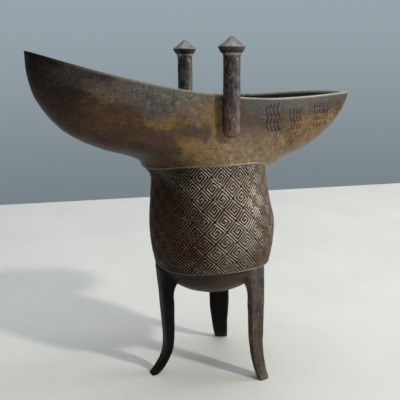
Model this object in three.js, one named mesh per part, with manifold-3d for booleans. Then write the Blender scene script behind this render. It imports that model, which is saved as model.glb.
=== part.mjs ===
// A jue: a three-legged bronze wine cup, cast in one piece, with a long open spout, a pointed
// tail, two capped posts on the rim and a belly covered in a diaper of raised lozenges.
// Millimetres, +Z up. The belly's axis is the working axis: the spout points to -X, the tail to
// +X. The finished group is moved so that its origin is under the middle of the vessel's length.
import * as THREE from 'three';
import { mergeVertices } from 'three/addons/utils/BufferGeometryUtils.js';
import Module from 'manifold-3d';

// Reach of the spout and tail from the belly's axis, and the height of the lip
const spoutReach = 82.4;
const tailReach = 75.1;
const spoutTipHeight = 155;
const tailTipHeight = 134;
const rimLowHeight = 133.4;
const rimLowX = 26;
const rimSweep = 1.75;
const rimHalfWidth = 25;
const rimWidestX = -2.25;

// Belly: a round barrel that leans a little to the spout at its neck
const floorHeight = 40;
const bellyRadius = 29.75;
const bellyHeight = 74;
const neckRadius = 27;
const neckShift = -2;
const footRingRadius = 27.3;
const footRingStep = 0.7;

// The saddle-shaped lines above and below the patterned band
const bandTopSide = 105.9;
const bandTopSpout = 101.5;
const bandTopTail = 99.3;
const bandLowSide = 57;
const bandLowEnd = 55;
const bandLineHeight = 0.4;
const spoutLedge = 1.8;
const ledgeRise = 0.6;

// Lozenge diaper: lozenges round the belly, and half rows of them from line to line
const lozengesRound = 19;
const halfRows = 10;
const ridgeHeight = 0.4;
const grooveDepth = 0.35;
const studHeight = 0.05;

// Walls
const wall = 2;
const floorWall = 2.4;
const tailTipShare = 2.2;

// Posts and their caps
const postRadius = 3.63;
const postSeat = 0.8;
const postFootHeight = 117.8;
const capUnderHeight = 153.3;
const capUnderRadius = 4.4;
const capWideHeight = 155.7;
const capRadius = 5.78;
const capTopHeight = 160;
const collarHeight = 1.2;
const collarStep = 0.45;

// Legs: flattened blades, broad face outwards, that swing out at the foot
const footDepth = 4;
const legDepth = 5;
const legProud = 0.3;
const legTopDrop = 0.25;
const legFlare = 5;
const legFlareHeight = 15;
const legRoundness = 0.82;
const legs = [
  { angle: 180, footReach: 33.2, waistReach: 25.5, waistHeight: 18, width: 8.4, footWidth: 6.2 },
  { angle: 58.5, footReach: 32.8, waistReach: 26.3, waistHeight: 21, width: 10.2, footWidth: 7 },
  { angle: -57.5, footReach: 31.7, waistReach: 27.2, waistHeight: 24, width: 8.4, footWidth: 6.2 },
];

// Fineness of the faceted surface: grid steps for each lozenge, and rings for each stretch
const stepsPerLozenge = 4;
const columns = lozengesRound * stepsPerLozenge;
const bandRows = (halfRows * stepsPerLozenge) / 2;
const floorRings = 5;
const hullRings = 10;
const hullRingSpread = 1.7;
const innerHullRings = 6;
const innerBellyRings = 5;
const innerFloorRings = 3;
const postSides = 16;
const legRings = 11;
const legSides = 12;

// Underside of spout and tail, as [share of the reach, share of the rise] from the neck
const spoutKeel = [
  [0, 0],
  [0.076, 0.098],
  [0.178, 0.143],
  [0.414, 0.207],
  [0.627, 0.303],
  [0.776, 0.412],
  [0.931, 0.62],
  [0.99, 0.82],
  [1, 1],
];
const tailKeel = [
  [0, 0],
  [0.098, 0.038],
  [0.229, 0.129],
  [0.407, 0.213],
  [0.588, 0.333],
  [0.769, 0.494],
  [0.906, 0.699],
  [0.979, 0.886],
  [1, 1],
];

const { clamp, degToRad, lerp, smoothstep } = THREE.MathUtils;

function keelCurve(points) {
  const rises = points.map((point) => point[1]);
  const reaches = points.map((point) => point[0]);
  const curve = new THREE.CubicInterpolant(rises, reaches, 1, new Float64Array(1));
  return (rise) => curve.evaluate(clamp(rise, 0, 1))[0];
}
const spoutCurve = keelCurve(spoutKeel);
const tailCurve = keelCurve(tailKeel);

function bandTop(angle) {
  const end = Math.cos(angle) < 0 ? bandTopSpout : bandTopTail;
  return lerp(bandTopSide, end, Math.cos(angle) ** 4);
}

function bandLow(angle) {
  return lerp(bandLowSide, bandLowEnd, Math.cos(angle) ** 2);
}

function rimHeight(x) {
  if (x < rimLowX) {
    const share = (rimLowX - x) / (rimLowX + spoutReach);
    return rimLowHeight + (spoutTipHeight - rimLowHeight) * share ** rimSweep;
  }
  const share = (x - rimLowX) / (tailReach - rimLowX);
  return rimLowHeight + (tailTipHeight - rimLowHeight) * share ** 2;
}

// Radius and centre of the barrel at a height: a parabola below its widest ring, and above it a
// cosine that ends upright at the neck
function bellyAt(z) {
  if (z < bellyHeight) {
    const share = (bellyHeight - z) / (bellyHeight - bandLowEnd);
    return { radius: bellyRadius - (bellyRadius - footRingRadius) * share ** 2, centre: 0 };
  }
  const share = clamp((z - bellyHeight) / (bandTopSide - bellyHeight), 0, 1);
  const radius = lerp(bellyRadius, neckRadius, (1 - Math.cos(Math.PI * share)) / 2);
  return { radius, centre: neckShift * share ** 2 };
}

function bellyPoint(angle, z, offset) {
  const { radius, centre } = bellyAt(z);
  const reach = radius + offset;
  return new THREE.Vector3(centre + reach * Math.cos(angle), reach * Math.sin(angle), z);
}

// A point of the bowl, spout and tail above the neck: every meridian keeps its share of the
// length, and its reach and width grow with the height over its own point of the neck
function hullPoint(angle, z, inset) {
  const along = Math.cos(angle);
  const toSpout = along < 0;
  const start = bandTop(angle);
  const tip = toSpout ? spoutTipHeight : tailTipHeight;
  const curve = toSpout ? spoutCurve : tailCurve;
  const fullReach = (toSpout ? spoutReach : tailReach) + (toSpout ? rimWidestX : -rimWidestX);
  const ledge = toSpout ? bandLineHeight + spoutLedge * along ** 8 : bandLineHeight;
  const rise = (z - inset - start) / (tip - start);
  const side = clamp((z - start) / (rimHeight(rimWidestX) - start), 0, 1);
  const tipInset = inset * (toSpout ? 1 : lerp(1, tailTipShare, side));
  const reach = lerp(neckRadius + ledge, fullReach, curve(rise)) - tipInset;
  const width = lerp(neckRadius + bandLineHeight, rimHalfWidth, 1 - (1 - side) ** 2) - inset;
  const power = lerp(2, toSpout ? 2.2 : 1.7, smoothstep(side, 0, 1));
  const bluntness = lerp(0.5, toSpout ? 0.5 : 0.9, smoothstep(side, 0, 1));
  const centre = lerp(neckShift, rimWidestX, side);
  const share = Math.abs(along);
  const across = width * Math.max(0, 1 - share ** power) ** bluntness;
  const x = centre + Math.sign(along) * share * reach;
  return new THREE.Vector3(x, Math.sign(Math.sin(angle)) * across, z);
}

// The height at which a meridian of the hull meets the lip, found by halving
function lipHeight(angle, inset) {
  let low = bandTop(angle);
  let high = spoutTipHeight;
  for (let halving = 0; halving < 40; halving += 1) {
    const middle = (low + high) / 2;
    if (middle < rimHeight(hullPoint(angle, middle, inset).x)) {
      low = middle;
    } else {
      high = middle;
    }
  }
  return low;
}

function ring(pointAt) {
  const points = [];
  for (let column = 0; column < columns; column += 1) {
    const angle = ((column - columns / 2) / columns) * 2 * Math.PI;
    points.push(pointAt(angle, column));
  }
  // The meridians over the tips lie exactly in the middle plane
  points[0].y = 0;
  points[columns / 2].y = 0;
  return points;
}

// Round bottom: rings on an arc from the pole to the line under the pattern
function floorRing(share, inset, lift) {
  const edge = 0.95;
  const u = Math.sin(share * Math.asin(edge)) / edge;
  const rise = (1 - Math.sqrt(1 - (edge * u) ** 2)) / (1 - Math.sqrt(1 - edge ** 2));
  return ring((angle) => {
    const brim = bandLow(angle) - footRingStep;
    const radius = (footRingRadius - footRingStep - inset) * u;
    const z = lerp(floorHeight + lift, brim, rise);
    return new THREE.Vector3(radius * Math.cos(angle), radius * Math.sin(angle), z);
  });
}

// Relief of the diaper on a grid of four steps to a lozenge: lines along the lozenges' edges,
// a stud in the middle of each and a groove round it
function relief(column, row) {
  const shifted = column - 1;
  if (row === 0 || row === bandRows) {
    return bandLineHeight;
  }
  if ((shifted + row) % 2 !== 0) {
    return -grooveDepth;
  }
  const isMiddle = (shifted + row) % 4 === 2 && (shifted - row + 4 * bandRows) % 4 === 2;
  return isMiddle ? studHeight : ridgeHeight;
}

function bandRing(row) {
  return ring((angle, column) => {
    const z = lerp(bandLow(angle), bandTop(angle), row / bandRows);
    return bellyPoint(angle, z, relief(column, row));
  });
}

function hullRing(share, inset, start) {
  return ring((angle) => {
    const foot = bandTop(angle) + start;
    return hullPoint(angle, lerp(foot, lipHeight(angle, inset), share), inset);
  });
}

function innerBellyRing(share, inset) {
  return ring((angle) => {
    const z = lerp(bandLow(angle), bandTop(angle), share);
    return bellyPoint(angle, z, -inset);
  });
}

// Skin through a stack of rings, closed by a pole at each end, with every second diagonal turned
// so that the facets follow the lozenges
function skin(rings, firstPole, lastPole) {
  const positions = [firstPole, ...rings.flat(), lastPole].flatMap((point) => point.toArray());
  const index = [];
  const at = (level, column) => 1 + level * columns + (column % columns);
  const last = 1 + rings.length * columns;
  for (let column = 0; column < columns; column += 1) {
    index.push(0, at(0, column + 1), at(0, column));
    index.push(at(rings.length - 1, column), at(rings.length - 1, column + 1), last);
    for (let level = 0; level < rings.length - 1; level += 1) {
      const a = at(level, column);
      const b = at(level, column + 1);
      const c = at(level + 1, column + 1);
      const d = at(level + 1, column);
      if ((column + level) % 2 === 0) {
        index.push(a, b, c, a, c, d);
      } else {
        index.push(a, b, d, b, c, d);
      }
    }
  }
  const geometry = new THREE.BufferGeometry();
  geometry.setAttribute('position', new THREE.Float32BufferAttribute(positions, 3));
  geometry.setIndex(index);
  return geometry;
}

function vesselSkin() {
  const rings = [];
  for (let k = 1; k <= floorRings; k += 1) {
    rings.push(floorRing(k / floorRings, 0, 0));
  }
  for (let row = 0; row <= bandRows; row += 1) {
    rings.push(bandRing(row));
  }
  for (let k = 0; k <= hullRings; k += 1) {
    rings.push(hullRing((k / hullRings) ** hullRingSpread, 0, ledgeRise));
  }
  for (let k = innerHullRings; k >= 0; k -= 1) {
    rings.push(hullRing((k / innerHullRings) ** hullRingSpread, wall, wall + ledgeRise));
  }
  for (let k = innerBellyRings; k >= 0; k -= 1) {
    rings.push(innerBellyRing(k / innerBellyRings, wall));
  }
  for (let k = innerFloorRings - 1; k >= 1; k -= 1) {
    rings.push(floorRing(k / innerFloorRings, wall, floorWall));
  }
  const under = new THREE.Vector3(0, 0, floorHeight);
  const inside = new THREE.Vector3(0, 0, floorHeight + floorWall);
  return skin(rings, under, inside);
}

// The room that the legs' tops stay out of: the cup's inside with half of the wall round it
function legLimitSkin() {
  const rings = [];
  for (let k = 1; k <= floorRings; k += 1) {
    rings.push(floorRing(k / floorRings, wall / 2, floorWall / 2));
  }
  rings.push(innerBellyRing(0, wall / 2));
  rings.push(innerBellyRing(0.5, wall / 2));
  const under = new THREE.Vector3(0, 0, floorHeight + floorWall / 2);
  return skin(rings, under, new THREE.Vector3(0, 0, bellyHeight));
}

function postSkin() {
  const profile = [];
  const quarter = 4;
  for (let k = 0; k <= quarter; k += 1) {
    const angle = (k / quarter) * (Math.PI / 2);
    const height = postFootHeight + postRadius * (1 - Math.cos(angle));
    profile.push(new THREE.Vector2(postRadius * Math.sin(angle), height));
  }
  const collarLow = capUnderHeight - collarHeight;
  profile.push(new THREE.Vector2(postRadius, collarLow));
  profile.push(new THREE.Vector2(postRadius + collarStep, collarLow + collarHeight / 3));
  profile.push(new THREE.Vector2(postRadius + collarStep, capUnderHeight - collarHeight / 3));
  profile.push(new THREE.Vector2(capUnderRadius, capUnderHeight));
  profile.push(new THREE.Vector2(capRadius, capWideHeight));
  profile.push(new THREE.Vector2(0, capTopHeight));
  profile[0].x = 0;
  const geometry = new THREE.LatheGeometry(profile, postSides);
  geometry.rotateX(Math.PI / 2);
  return geometry;
}

// One leg along its own radius: rounded sections stacked from the sole to the line under the
// pattern, with a flare where it grows out of the round bottom
function legSkin({ angle, footReach, waistReach, waistHeight, width, footWidth }) {
  const top = bandLow(degToRad(angle)) - legTopDrop;
  const topReach = footRingRadius + bandLineHeight + legProud;
  const sections = [];
  for (let k = 0; k <= legRings; k += 1) {
    const z = (top * k) / legRings;
    const below = clamp((waistHeight - z) / waistHeight, 0, 1) ** 2.6;
    const above = clamp((z - waistHeight) / (top - waistHeight), 0, 1) ** 1.2;
    const flare = legFlare * clamp((z - top + legFlareHeight) / legFlareHeight, 0, 1) ** 2;
    const reach = waistReach + (footReach - waistReach) * below + (topReach - waistReach) * above;
    const breadth = lerp(footWidth, width, Math.min(1, z / waistHeight) ** 0.8) + flare / 2;
    const depth = lerp(footDepth, legDepth, z / top) + flare;
    for (let side = 0; side < legSides; side += 1) {
      const turn = (side / legSides) * 2 * Math.PI;
      const outwards = Math.sign(Math.cos(turn)) * Math.abs(Math.cos(turn)) ** legRoundness;
      const across = Math.sign(Math.sin(turn)) * Math.abs(Math.sin(turn)) ** legRoundness;
      const x = reach - (depth / 2) * (1 - outwards);
      sections.push(new THREE.Vector3(x, (breadth / 2) * across, z));
    }
  }
  const positions = sections.flatMap((point) => point.toArray());
  const index = [];
  const last = legRings * legSides;
  for (let side = 0; side < legSides; side += 1) {
    const next = (side + 1) % legSides;
    for (let low = 0; low < last; low += legSides) {
      const high = low + legSides;
      index.push(low + side, low + next, high + next);
      index.push(low + side, high + next, high + side);
    }
    if (side > 0 && next > 0) {
      index.push(0, next, side);
      index.push(last, last + side, last + next);
    }
  }
  const geometry = new THREE.BufferGeometry();
  geometry.setAttribute('position', new THREE.Float32BufferAttribute(positions, 3));
  geometry.setIndex(index);
  geometry.rotateZ(degToRad(angle));
  return geometry;
}

const wasm = await Module();
wasm.setup();

function solid(geometry) {
  const bare = geometry.clone();
  bare.deleteAttribute('normal');
  bare.deleteAttribute('uv');
  const merged = mergeVertices(bare, 1e-4);
  return new wasm.Manifold(
    new wasm.Mesh({
      numProp: 3,
      vertProperties: new Float32Array(merged.attributes.position.array),
      triVerts: new Uint32Array(merged.index.array),
    }),
  );
}

function geometryOf(manifold) {
  const mesh = manifold.getMesh();
  const geometry = new THREE.BufferGeometry();
  geometry.setAttribute('position', new THREE.BufferAttribute(mesh.vertProperties, 3));
  geometry.setIndex(new THREE.BufferAttribute(mesh.triVerts, 1));
  geometry.computeVertexNormals();
  return geometry;
}

function castVessel() {
  let vessel = solid(vesselSkin());
  const legLimit = solid(legLimitSkin());
  for (const leg of legs) {
    vessel = vessel.add(solid(legSkin(leg)).subtract(legLimit));
  }
  const postOffset = rimHalfWidth + postRadius - postSeat;
  for (const side of [-1, 1]) {
    const post = postSkin();
    post.translate(rimWidestX, side * postOffset, 0);
    vessel = vessel.add(solid(post));
  }
  return vessel;
}

const bronze = new THREE.MeshStandardMaterial({
  color: 0x5b4a3b,
  roughness: 0.5,
  metalness: 0.6,
});

const vessel = new THREE.Mesh(geometryOf(castVessel()), bronze);
vessel.name = 'jue_vessel';
vessel.position.x = (spoutReach - tailReach) / 2;

const object = new THREE.Group();
object.add(vessel);

export default object;
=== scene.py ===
import math

import bpy
import numpy as np
from bpy.props import FloatProperty, FloatVectorProperty, IntProperty, PointerProperty
from mathutils import Matrix, Vector


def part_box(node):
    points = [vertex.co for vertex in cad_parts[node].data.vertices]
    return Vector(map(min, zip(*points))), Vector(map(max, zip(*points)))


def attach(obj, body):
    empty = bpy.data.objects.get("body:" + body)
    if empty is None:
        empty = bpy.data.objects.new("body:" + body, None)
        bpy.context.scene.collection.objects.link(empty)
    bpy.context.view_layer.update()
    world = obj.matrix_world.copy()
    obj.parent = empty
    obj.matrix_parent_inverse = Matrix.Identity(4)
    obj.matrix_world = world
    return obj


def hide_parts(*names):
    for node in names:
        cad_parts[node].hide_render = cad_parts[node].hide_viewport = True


bl_info = {
    "name": "Jue wine vessel",
    "version": (1, 0, 0),
    "blender": (4, 5, 0),
    "location": "3D View > Sidebar > Jue",
    "description": "Builds a cast bronze jue: bowl, diaper, posts, legs, patina and stage",
    "category": "Object",
}

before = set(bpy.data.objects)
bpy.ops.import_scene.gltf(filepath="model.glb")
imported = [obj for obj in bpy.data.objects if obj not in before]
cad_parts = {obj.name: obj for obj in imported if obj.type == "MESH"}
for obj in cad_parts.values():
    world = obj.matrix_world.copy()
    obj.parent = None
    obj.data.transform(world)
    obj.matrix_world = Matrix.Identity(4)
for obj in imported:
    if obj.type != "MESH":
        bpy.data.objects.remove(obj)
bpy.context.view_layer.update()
NODE = "jue_vessel"
BODY = "root"
NODE_LOW, NODE_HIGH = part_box(NODE)
MM = 0.001

# Undersides of spout and tail, as (share of the reach, share of the rise) from the neck
SPOUT_KEEL = (
    *((0, 0), (0.048, 0.07), (0.154, 0.117), (0.3825, 0.183), (0.607, 0.2815)),
    *((0.764, 0.394), (0.927, 0.608), (0.9895, 0.8145), (1, 1)),
)
TAIL_KEEL = (
    *((0, 0), (0.098, 0.038), (0.229, 0.129), (0.407, 0.213), (0.588, 0.333)),
    *((0.769, 0.494), (0.906, 0.699), (0.979, 0.886), (1, 1)),
)

# Legs: turn round the belly in degrees, then in millimetres the outer face's reach at the sole
# and at the waist, the waist's height, the widths at the waist and at the sole, the extra width
# at the top and how far the leg bows to its left, and last its section's own turn in degrees
LEGS = {
    "leg_under_spout": (180, 33.2, 25.5, 18, 8.8, 6.2, 1.6, 0, 0),
    "leg_back": (58.5, 32.8, 26.3, 21, 10.4, 7.6, 1.8, 0, 0),
    "leg_front": (-57.5, 31.7, 27.2, 24, 7.9, 5.9, 0.8, 0.6, -19),
}


def length(name, description, default):
    """A length in metres that a user may change, given here in millimetres."""
    return FloatProperty(name=name, description=description, default=default * MM, unit="LENGTH")


def angle_of(name, description, default):
    """An angle in radians that a user may change."""
    return FloatProperty(name=name, description=description, default=default, subtype="ANGLE")


def number(name, description, default):
    """A plain number that a user may change."""
    return FloatProperty(name=name, description=description, default=default)


def colour(name, description, default):
    """A surface colour that a user may change."""
    return FloatVectorProperty(
        name=name, description=description, default=default, size=3, min=0, max=1, subtype="COLOR"
    )


class JueBowlSizes(bpy.types.PropertyGroup):
    """Sizes of the bowl, the spout and the tail."""

    spout_reach: length("Spout reach", "From the belly's axis to the end of the spout", 82.4)
    tail_reach: length("Tail reach", "From the belly's axis to the tip of the tail", 75.1)
    spout_height: length("Spout height", "Height of the lip at the end of the spout", 155)
    tail_height: length("Tail height", "Height of the lip at the tip of the tail", 134)
    lip_low: length("Low lip", "Height of the lip where it is lowest", 133.4)
    lip_low_x: length("Low lip place", "How far to the tail the lip is lowest", 26)
    far_lip: length("Far lip rise", "How much higher the tail's lip is on its far side", 1.1)
    half_width: length("Half width", "Half of the bowl's width at the posts", 25)
    widest_x: length("Widest place", "Where along its length the bowl is widest", -2.25)
    wall: length("Wall", "Thickness of the cast wall", 2)
    floor_wall: length("Floor wall", "Thickness of the round bottom", 2.4)
    root_flare: length("Root flare", "How far the neck flares out to the spout's root", 4)


class JueBellySizes(bpy.types.PropertyGroup):
    """Sizes of the belly and of its diaper."""

    floor_height: length("Bottom height", "Height of the lowest point of the round bottom", 40)
    radius: length("Belly radius", "Radius of the belly where it is widest", 29.75)
    height: length("Belly height", "Height of the widest ring", 74)
    neck_radius: length("Neck radius", "Radius of the belly at the neck", 27)
    neck_shift: length("Neck shift", "How far the neck leans to the spout", -2)
    drawn_in: length("Drawn in", "How far the belly is drawn in halfway up to the neck", 0.65)
    ring_radius: length("Ring radius", "Radius of the belly at the line under the diaper", 27.3)
    ring_step: length("Ring step", "How far the round bottom steps in under that line", 0.7)
    top_side: length("Band top, sides", "Height of the diaper's upper line at the sides", 105.9)
    top_spout: length("Band top, spout", "Height of that line under the spout", 103.1)
    flare_height: length("Neck flare", "Height of the flare under the spout's root", 7.5)
    top_tail: length("Band top, tail", "Height of that line under the tail", 99.3)
    low_side: length("Band foot, sides", "Height of the diaper's lower line at the sides", 57)
    low_end: length("Band foot, ends", "Height of that line under spout and tail", 55)
    line_height: length("Border line", "How far the border lines stand out", 0.4)
    ridge: length("Ridge", "How far the spirals stand out of the belly", 0.3)
    groove: length("Groove", "How deep the ground lies between them", 0.28)
    lozenges: IntProperty(name="Lozenges", description="Lozenges round the belly", default=19)
    half_rows: IntProperty(name="Half rows", description="Half rows of lozenges", default=10)


class JuePostSizes(bpy.types.PropertyGroup):
    """Sizes of the posts and of the legs."""

    post_radius: length("Post radius", "Radius of a post", 3.63)
    post_seat: length("Post seat", "How deep a post is sunk into the wall", 0.8)
    post_foot: length("Post foot", "Height of a post's rounded foot", 117.8)
    cap_under: length("Cap underside", "Height of a cap's underside", 153.3)
    cap_under_radius: length("Cap underside radius", "Radius of a cap at its underside", 4.75)
    cap_wide: length("Cap edge height", "Height of a cap's widest edge", 155.7)
    cap_radius: length("Cap radius", "Radius of a cap at its edge", 5.78)
    cap_top: length("Cap top", "Height of a cap's point", 160)
    collar: length("Collar", "Height of the collar under a cap", 1.2)
    collar_step: length("Collar step", "How far the collar stands out", 0.35)
    near_post_shift: length("Near post shift", "How far the near post stands to the tail", 0.38)
    leg_depth: length("Leg depth", "Depth of a leg at its top, from front to back", 5)
    sole_depth: length("Sole depth", "Depth of a sole", 4)
    leg_slimness: number("Leg slimness", "Share of their sizes that squared legs keep", 0.895)
    leg_roundness: number("Leg roundness", "1 for oval sections, near 0 for square ones", 0.48)
    leg_flare: length("Leg flare", "How much a leg widens as it grows out of the bottom", 5)
    leg_flare_height: length("Leg flare height", "Height of that widening", 15)
    leg_proud: length("Leg step", "How far a leg's top stands out of the border line", 0.3)


class JuePatina(bpy.types.PropertyGroup):
    """Colours of the bronze and of its patina."""

    # Besides the bronze's own colours, some of these are also laid as painted light and shade: the
    # near-black dirt colour on the legs out of the light and in the funnels under the caps; mauve,
    # grey, brown, dark and tan on the leg in the light; tan, grey, ochre and the worn edge colour
    # on the lit side of the diaper; ochre along the keel; the worn edge colour and the specks on
    # the lip; tan and the worn edge colour under the near post; and dark on the round bottom.
    dark: colour("Dark bronze", "Nearly black, at the end of the spout", (0.011, 0.008, 0.009))
    brown: colour("Brown bronze", "Brown ground of the bowl", (0.056, 0.028, 0.016))
    red: colour("Red oxide", "Reddish streaks", (0.088, 0.032, 0.018))
    grey: colour("Grey patina", "Cool grey film on the upper bowl", (0.086, 0.088, 0.080))
    tan: colour("Tan metal", "Worn brownish metal in the light", (0.185, 0.132, 0.090))
    mauve: colour("Mauve patina", "Grey-brown film on the tail", (0.078, 0.056, 0.046))
    ochre: colour("Worn ochre", "Worn brassy patches", (0.125, 0.072, 0.034))
    bright: colour("Worn edge", "Bright metal on edges and ridges", (0.400, 0.350, 0.275))
    plum: colour("Plum patina", "Purplish grey blots", (0.060, 0.042, 0.042))
    rust: colour("Rust red", "Red oxide at the posts' feet", (0.210, 0.085, 0.070))
    gold: colour("Golden patina", "Golden-brown patches low on the bowl", (0.272, 0.165, 0.048))
    stone: colour("Cap film", "Pale film on the caps' cones", (0.215, 0.215, 0.190))
    dust: colour("Specks", "Pale mineral specks", (0.420, 0.410, 0.370))
    # Dirt in grooves, cuts and pits, and also painted shade on the legs out of the light and in the
    # funnels under the caps.
    dirt_and_shade: colour("Groove dirt", "Dirt in grooves and cuts", (0.005, 0.004, 0.0038))


class JueStage(bpy.types.PropertyGroup):
    """Floor, light and camera."""

    floor_reach: length("Floor reach", "From the vessel to the floor's sides and near edge", 620)
    floor_depth: length("Floor depth", "From the vessel to the floor's far edge", 391)
    floor_turn: angle_of("Floor turn", "How far the floor is turned", -0.17)
    floor_colour: colour("Floor", "Colour of the floor", (0.74, 0.72, 0.68))
    back_high: colour("Backdrop, high", "Colour of the surroundings above", (0.315, 0.375, 0.41))
    back_low: colour("Backdrop, low", "Colour of the surroundings below", (0.17, 0.205, 0.225))
    back_left: colour("Backdrop, left", "Colour of the left side", (0.05, 0.045, 0.042))
    key_power: number("Key", "Power of the key light in watts", 12.5)
    window_power: number("Window", "Power of the window light in watts", 4.5)
    ceiling_power: number("Ceiling", "Power of the ceiling light in watts", 7.5)
    camera_distance: length("Camera distance", "From the belly's axis, over the floor", 290)
    camera_height: length("Camera height", "Height of the camera", 151.37)
    azimuth: angle_of("Azimuth", "How far round from the vessel's side the camera stands", 0.3905)
    aside: angle_of("Aside", "How far the view turns aside", 0.0189)
    tilt: angle_of("Tilt", "How far the view looks down", 0.2262)
    roll: angle_of("Roll", "How far the view leans", -0.0111)
    lens: length("Lens", "Focal length on a 36 mm frame", 55.7)


def bowl_sizes():
    return bpy.context.scene.jue_bowl


def belly_sizes():
    return bpy.context.scene.jue_belly


def post_sizes():
    return bpy.context.scene.jue_posts


def mix(low, high, share):
    """Straight blend: low where share is 0 and high where it is 1."""
    return low + (high - low) * share


def ease(x):
    """Smooth step: 3x² - 2x³ of x held between 0 and 1."""
    held = np.clip(x, 0, 1)
    return held * held * (3 - 2 * held)


def axis_shift():
    """Where the belly's axis lies along X: the middle of the vessel's length is at 0."""
    bowl = bowl_sizes()
    return (bowl.spout_reach - bowl.tail_reach) / 2


def smooth_curve(points, rise):
    """Reach at each rise: a cubic between neighbouring points, whose slope at each point is the
    mean of the slopes to both sides."""
    reaches, rises = np.array(points, float).T
    secants = np.diff(reaches) / np.diff(rises)
    slopes = np.concatenate((secants[:1], (secants[:-1] + secants[1:]) / 2, secants[-1:]))
    held = np.clip(rise, 0, 1)
    low = np.clip(np.searchsorted(rises, held, side="right") - 1, 0, len(rises) - 2)
    step = rises[low + 1] - rises[low]
    t = (held - rises[low]) / step
    start = reaches[low] * (1 + 2 * t) * (1 - t) ** 2 + slopes[low] * step * t * (1 - t) ** 2
    end = reaches[low + 1] * t * t * (3 - 2 * t) - slopes[low + 1] * step * t * t * (1 - t)
    return start + end


def band_top(angle):
    """Height of the diaper's upper line: a saddle, lowest under spout and tail."""
    belly = belly_sizes()
    end = np.where(np.cos(angle) < 0, belly.top_spout, belly.top_tail)
    return mix(belly.top_side, end, np.cos(angle) ** 4)


def band_low(angle):
    """Height of the diaper's lower line: a shallow saddle."""
    belly = belly_sizes()
    return mix(belly.low_side, belly.low_end, np.cos(angle) ** 2)


def lip_line(x):
    """Height of the lip over x: a power curve up to the spout and a slight rise to the tail."""
    bowl = bowl_sizes()
    spout_share = np.clip((bowl.lip_low_x - x) / (bowl.lip_low_x + bowl.spout_reach), 0, None)
    tail_share = np.clip((x - bowl.lip_low_x) / (bowl.tail_reach - bowl.lip_low_x), 0, None)
    rise = (bowl.spout_height - bowl.lip_low) * spout_share**1.75
    return bowl.lip_low + rise + (bowl.tail_height - bowl.lip_low) * tail_share**2


def belly_at(z):
    """Radius and centre of the barrel: a parabola below the widest ring, and above it a cosine
    less a sine hump that sets in softly, and by which the barrel also leans to the spout."""
    belly = belly_sizes()
    down = (belly.height - z) / (belly.height - belly.low_end)
    up = np.clip((z - belly.height) / (belly.top_side - belly.height), 0, 1)
    below = belly.radius - (belly.radius - belly.ring_radius) * down**2
    set_in = 0.24
    hump = belly.drawn_in * np.sin(math.pi * up) * ease(up / set_in)
    above = mix(belly.radius, belly.neck_radius, (1 - np.cos(math.pi * up)) / 2) - hump
    return np.where(z < belly.height, below, above), belly.neck_shift * up**2 - hump


def spout_root(angle):
    """How far the spout's root stands out of the neck: by the fourth power of the cosine, most in
    the middle of its underside."""
    along = np.cos(angle)
    return np.where(along < 0, bowl_sizes().root_flare * along**4, 0)


def belly_point(angle, z, offset):
    """Point of the barrel at an angle and height, moved outwards by the offset. Under the spout
    its neck flares out along a parabola."""
    radius, centre = belly_at(z)
    height = belly_sizes().flare_height
    risen = np.clip(1 - (band_top(angle) - z) / height, 0, 1)
    reach = radius + offset + spout_root(angle) * risen**2
    return np.stack((centre + reach * np.cos(angle), reach * np.sin(angle), z + 0 * angle), -1)


def hull_point(angle, z, inset):
    """Point of the bowl over the neck: a long oval whose reach follows the keel as it rises, and
    whose ends turn from round to a blunt spout and a pointed tail."""
    bowl = bowl_sizes()
    belly = belly_sizes()
    along = np.cos(angle)
    spout = along < 0
    start = band_top(angle)
    tip = np.where(spout, bowl.spout_height, bowl.tail_height)
    reach_all = np.where(spout, bowl.spout_reach + bowl.widest_x, bowl.tail_reach - bowl.widest_x)
    root = belly.line_height + spout_root(angle)
    rise = (z - inset - start) / (tip - start)
    share = np.where(spout, smooth_curve(SPOUT_KEEL, rise), smooth_curve(TAIL_KEEL, rise))
    lip_side = lip_line(np.array(bowl.widest_x))
    side = np.clip((z - start) / (lip_side - start), 0, 1)
    reach = mix(belly.neck_radius + root, reach_all, share)
    reach = reach - inset * np.where(spout, 1, mix(1, 2.2, side))
    width = mix(belly.neck_radius + belly.line_height, bowl.half_width, 1 - (1 - side) ** 2)
    power = mix(2, np.where(spout, 2.2, 1.7), ease(side))
    blunt = mix(0.5, np.where(spout, 0.5, 0.9), ease(side))
    centre = mix(belly.neck_shift, bowl.widest_x, side)
    across = (width - inset) * np.clip(1 - np.abs(along) ** power, 0, None) ** blunt
    return np.stack((centre + along * reach, np.sign(np.sin(angle)) * across, z), -1)


def lip_height(angle, inset):
    """Height at which each meridian meets the lip's line, found by halving. The lip's far side
    stands a little higher along the tail: a sine hump between the low lip and the tip."""
    bowl = bowl_sizes()
    low = band_top(angle)
    high = np.full_like(low, bowl.spout_height)
    halvings = 36
    for _ in range(halvings):
        middle = (low + high) / 2
        x = hull_point(angle, middle, inset)[..., 0]
        along = np.clip((x - bowl.lip_low_x) / (bowl.tail_reach - bowl.lip_low_x), 0, 1)
        hump = bowl.far_lip * np.sin(math.pi * along**1.6) * (np.sin(angle) > 0)
        under = middle < lip_line(x) + hump
        low = np.where(under, middle, low)
        high = np.where(under, high, middle)
    return low


# The round bottom is a sphere's cap squeezed upwards: this is its rim's reach over the radius
CAP_EDGE = 0.95


def cap_rise(share):
    """Rise of the round bottom, from 0 at the pole to 1 at its rim, over the share of its reach:
    the arc of a circle."""
    bent = 1 - np.sqrt(1 - (CAP_EDGE * np.clip(share, 0, 1)) ** 2)
    return bent / (1 - math.sqrt(1 - CAP_EDGE**2))


def floor_point(angle, share, inset, lift):
    """Point of the round bottom: an arc from the pole to the step under the diaper."""
    belly = belly_sizes()
    out = np.sin(share * math.asin(CAP_EDGE)) / CAP_EDGE
    radius = (belly.ring_radius - belly.ring_step - inset) * out
    z = mix(belly.floor_height + lift, band_low(angle) - belly.ring_step, cap_rise(out))
    return np.stack((radius * np.cos(angle), radius * np.sin(angle), z), -1)


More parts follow.
